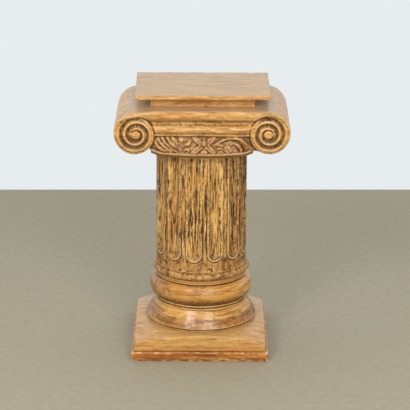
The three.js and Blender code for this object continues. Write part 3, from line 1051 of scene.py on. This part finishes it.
def honey_wood(name, grain, light=LIGHT_HONEY, middle=HONEY, dark=BROWN, fibre=0.5, pores=0.4,
               fine=(0.1, 0.6), broad=(0.8, 3.5), underside_shade=0.6, streaks=0.4, streak_start=0.54,
               blots=0.3, dirt_and_shade=(), calm=None, splits=(), rub=0.5, rub_reach=0.5, crest_rub_and_highlight=0.0,
               dust=0.0, gloss=0.36, coat=0.3, bump=0.4):
    """Stained and waxed wood. grain is how many grain features fit in a metre along X, Y and Z.

    fine and broad are the depths in mm at which the dark glazing begins and is full; that glazing
    also paints the shade of the hollows. The underside amount sets the painted shade on surfaces that
    face down. The darkened places, each an (axis, clean, darkened) triple, take grime and painted
    shade, calm holds the heights between which streaks set in, and splits the (degrees, low, high)
    of hairline splits. The crest share says how far the broad form rubs bare, which also paints a
    highlight along the crests.
    """
    material, bench, shader = new_material(name)
    where = bench.node("ShaderNodeTexCoord")
    place = where.outputs["Object"]
    facing_up = bench.axes(where.outputs["Normal"])["Z"]
    grain_place = bench.stretch(place, grain)
    fine_hollow = bench.attribute("fine_hollow")
    broad_hollow = bench.attribute("broad_hollow")
    spot = bench.axes(place)
    # Places darkened by grime and by painted shade.
    dirt_and_shade_mask = 0.0
    for axis, clean, full in dirt_and_shade:
        dirt_and_shade_mask = bench.math("MAXIMUM", dirt_and_shade_mask, bench.mask(spot[axis], clean, full))
    if calm:
        streaks = bench.mask(spot["Z"], *calm, streaks, 0.25 * streaks)
        fibre = bench.mask(spot["Z"], *calm, fibre, 0.4 * fibre)

    wood = bench.group(timber, Grain_Place=grain_place, Place=place, Light=light, Middle=middle,
                       Dark=dark, Fibre=fibre, Pores=pores)
    stain_and_shade = bench.group(
        glaze_and_shade, Color=wood["Color"], Grain_Place=grain_place, Place=place,
        Fine_Hollow=fine_hollow, Fine_Start=fine[0], Fine_Full=fine[1],
        Broad_Hollow=broad_hollow, Broad_Start=broad[0], Broad_Full=broad[1],
        Facing_Up=facing_up, Underside=underside_shade, Streaks=streaks,
        Streak_Start=streak_start, Blots=blots, Glaze=GLAZE_AND_SHADE, Dirt=dirt_and_shade_mask, Wash=DIRT_AND_SHADE_WASH,
    )
    # The crest share rubs the broad form bare as well, which paints a highlight along the crests of the
    # rolls.
    hollow = bench.math("MULTIPLY_ADD", broad_hollow, crest_rub_and_highlight, fine_hollow)
    edges = bench.group(rubbed, Color=stain_and_shade["Color"], Place=place, Hollow=hollow, Reach=rub_reach,
                        Amount=rub, Bare_Wood=BARE_WOOD_AND_HIGHLIGHT)
    bloom = bench.group(dusty, Color=edges["Color"], Facing_Up=facing_up, Amount=dust,
                        Dust=DUST)
    colour = bloom["Color"]
    for bearing, low, high in splits:
        colour = bench.group(split, Color=colour, Place=place, Bearing=math.radians(bearing), Low=low,
                             High=high, Glaze=GLAZE_AND_SHADE)["Color"]
    bench.join(colour, shader.inputs["Base Color"])
    bench.join(bench.math("MULTIPLY_ADD", stain_and_shade["Mask"], 0.2, gloss), shader.inputs["Roughness"])
    shader.inputs["Coat Weight"].default_value = coat
    shader.inputs["Coat Roughness"].default_value = 0.28
    relief = bench.node("ShaderNodeBump")
    relief.inputs["Strength"].default_value = bump
    relief.inputs["Distance"].default_value = 0.8 * MM
    bench.join(bench.math("MULTIPLY_ADD", stain_and_shade["Mask"], -0.6, wood["Height"]), relief.inputs["Height"])
    bench.join(relief.outputs[0], shader.inputs["Normal"])
    return material


ALONG_X = (9, 85, 85)
ALONG_Z = (130, 130, 8)
TURNED = (7, 7, 60)

plinth_finish = honey_wood(
    "waxed_plinth_wood", ALONG_X, light=linear(236, 184, 106), middle=linear(214, 152, 76),
    fibre=0.45, streaks=0.35, rub=0.4, dust=0.12, coat=0.4,
)
slab_finish = honey_wood(
    "rubbed_slab_wood", ALONG_X, light=linear(208, 138, 62), middle=linear(174, 100, 36),
    dark=linear(108, 56, 18), fibre=0.7, streaks=0.5, blots=0.5, rub=0.95, rub_reach=0.4,
)
# Painted shade: the undersides of the rings are darkened strongly and the left side of the base is
# darkened. The bell is also darkened below about 84 mm.
base_finish = honey_wood(
    "waxed_turned_wood", TURNED, light=linear(240, 184, 98), middle=linear(206, 138, 56),
    fine=(0.08, 0.5), broad=(0.8, 3.2), underside_shade=0.95, streaks=0.5, streak_start=0.545, blots=0.7,
    dirt_and_shade=(("X", -0.02, -0.12), ("Z", 0.0865, 0.0835)), rub=0.35, gloss=0.28, coat=0.45,
    splits=((-11, 0.078, 0.103), (16, 0.078, 0.103)),
)
# Painted shade: the glazing in the flutes also paints their shade, and the right side of the shaft is
# darkened. Below about 0.25 m the shaft darkens towards its foot and gathers more blots.
shaft_finish = honey_wood(
    "streaked_shaft_wood", ALONG_Z, light=linear(255, 204, 120), middle=linear(198, 130, 54),
    dark=linear(84, 44, 12), fine=(0.08, 0.35), broad=(1.0, 4.6), fibre=1.0, pores=0.8,
    streaks=0.96, streak_start=0.5, blots=0.9, dirt_and_shade=(("Z", 0.25, 0.22), ("X", 0.03, 0.09)),
    calm=(0.19, 0.25), rub=0.65, rub_reach=0.3, gloss=0.42, coat=0.15, bump=0.6,
)
# Painted shade: the glazing in hollows and channels also paints their shade, and the frieze and lip
# below about 0.51 m are darkened. Broad crests are rubbed paler, which paints a highlight along the
# rolls.
capital_finish = honey_wood(
    "carved_capital_wood", ALONG_X, light=linear(246, 196, 118), fine=(0.04, 0.3),
    broad=(0.2, 1.4), streak_start=0.53, blots=0.5, dirt_and_shade=(("Z", 0.516, 0.5),), rub=0.55,
    crest_rub_and_highlight=0.07, dust=0.55, coat=0.35,
)
board_finish = honey_wood(
    "dusty_board_wood", ALONG_X, light=linear(240, 186, 112), middle=linear(208, 144, 70),
    blots=0.25, rub=0.6, dust=0.5, coat=0.1,
)

# ---- The pedestal ----

# Each piece's maker, CAD node, slot and finish, and its passes of softening for mark_hollows.
for make, node, slot, finish, fine, broad in (
    (plinth_slab, "plinth_slab", "plinth_wood", slab_finish, 3, 8),
    (plinth_block, "plinth_block", "plinth_wood", plinth_finish, 3, 8),
    (turned_base, "turned_base", "column_wood", base_finish, 6, 60),
    (fluted_shaft, "fluted_shaft", "column_wood", shaft_finish, 5, 70),
    (carved_capital, "carved_capital", "capital_wood", capital_finish, 5, 45),
    (neck_board, "neck_board", "board_wood", board_finish, 3, 8),
    (top_board, "top_board", "board_wood", board_finish, 3, 8),
):
    piece = make()
    mark_hollows(piece, fine, broad)
    if node == "carved_capital":
        lightened(piece, CAPITAL_SHARE_KEPT)
    finish_piece(piece, node, finish)

# ---- Floor, light and camera ----

FLOOR_HALF = Vector((4, 3.5, 1))
FLOOR_END = 1.12
FLOOR_TURN = Matrix.Rotation(math.radians(1), 3, "Z")
ROOM_FRONT = 0.5


def pale_floor():
    """A plain floor that ends behind the pedestal, where the pale surround begins."""
    bm = bmesh.new()
    bmesh.ops.create_grid(bm, x_segments=1, y_segments=1, size=1)
    bmesh.ops.scale(bm, vec=FLOOR_HALF, verts=bm.verts)
    bmesh.ops.translate(bm, vec=(0, FLOOR_END - FLOOR_HALF.y, 0), verts=bm.verts)
    bmesh.ops.rotate(bm, verts=bm.verts, cent=(0, FLOOR_END, 0), matrix=FLOOR_TURN)
    floor = link_piece("floor", bm)
    material, bench, shader = new_material("pale_floor")
    place = bench.node("ShaderNodeTexCoord").outputs["Object"]
    speckle = bench.noise(place, 60.0, 3.0, 0.6)
    colour = bench.mix(speckle, linear(162, 156, 138), linear(188, 181, 162))
    bench.join(colour, shader.inputs["Base Color"])
    shader.inputs["Roughness"].default_value = 0.75
    floor.data.materials.append(material)


def soft_light(name, place, size, power):
    """A round, soft light that points at the middle of the pedestal."""
    aim = Vector((0, 0, 0.3))
    data = bpy.data.lights.new(name, "AREA")
    data.shape = "DISK"
    data.size = size
    data.energy = power
    light = bpy.data.objects.new(name, data)
    light.location = place
    light.rotation_euler = (aim - Vector(place)).to_track_quat("-Z", "Y").to_euler()
    scene.collection.objects.link(light)


def pale_surround():
    """A pale room: brightest behind the pedestal, dimmer in front and to its right."""
    world = bpy.data.worlds.new("pale_surround")
    world.use_nodes = True
    scene.world = world
    tree = world.node_tree
    bench = Bench(tree)
    background = tree.nodes["Background"]
    towards = bench.axes(bench.node("ShaderNodeTexCoord").outputs["Generated"])
    behind = bench.mask(towards["Y"], -0.5, 0.35, 1.0, ROOM_FRONT)
    right = bench.mask(towards["X"], 0.1, 1.0, 0.75, 1.0)
    dim = bench.math("MULTIPLY", behind, right)
    seen = bench.node("ShaderNodeLightPath").outputs["Is Camera Ray"]
    strength = bench.math("MAXIMUM", seen, dim)
    neutral = bench.math("MAXIMUM", seen, bench.mask(towards["Y"], -0.1, 0.3))
    colour = bench.mix(neutral, linear(238, 228, 208), linear(231, 237, 238))
    bench.join(colour, background.inputs["Color"])
    bench.join(strength, background.inputs["Strength"])


def studio():
    pale_floor()
    pale_surround()
    soft_light("window", (-1.4, -2.8, 2.3), 0.9, 34)
    soft_light("room_front", (1.1, -3.6, 2.0), 2.2, 68)
    scene.view_settings.view_transform = "Standard"


def long_lens():
    """The camera: a little to the right of the axis, pitched down and hardly rolled."""
    data = bpy.data.cameras.new("camera")
    data.lens = 175.6
    camera = bpy.data.objects.new("camera", data)
    pitch = math.radians(18)
    roll = math.radians(0.3)
    distance = 4.516
    aim = Vector((0.0081, 0, 0.3179))
    camera.location = aim + distance * Vector((0, -math.cos(pitch), math.sin(pitch)))
    tilt = Matrix.Rotation(math.pi / 2 - pitch, 3, "X") @ Matrix.Rotation(roll, 3, "Z")
    camera.rotation_euler = tilt.to_euler()
    scene.collection.objects.link(camera)
    scene.camera = camera


studio()
long_lens()
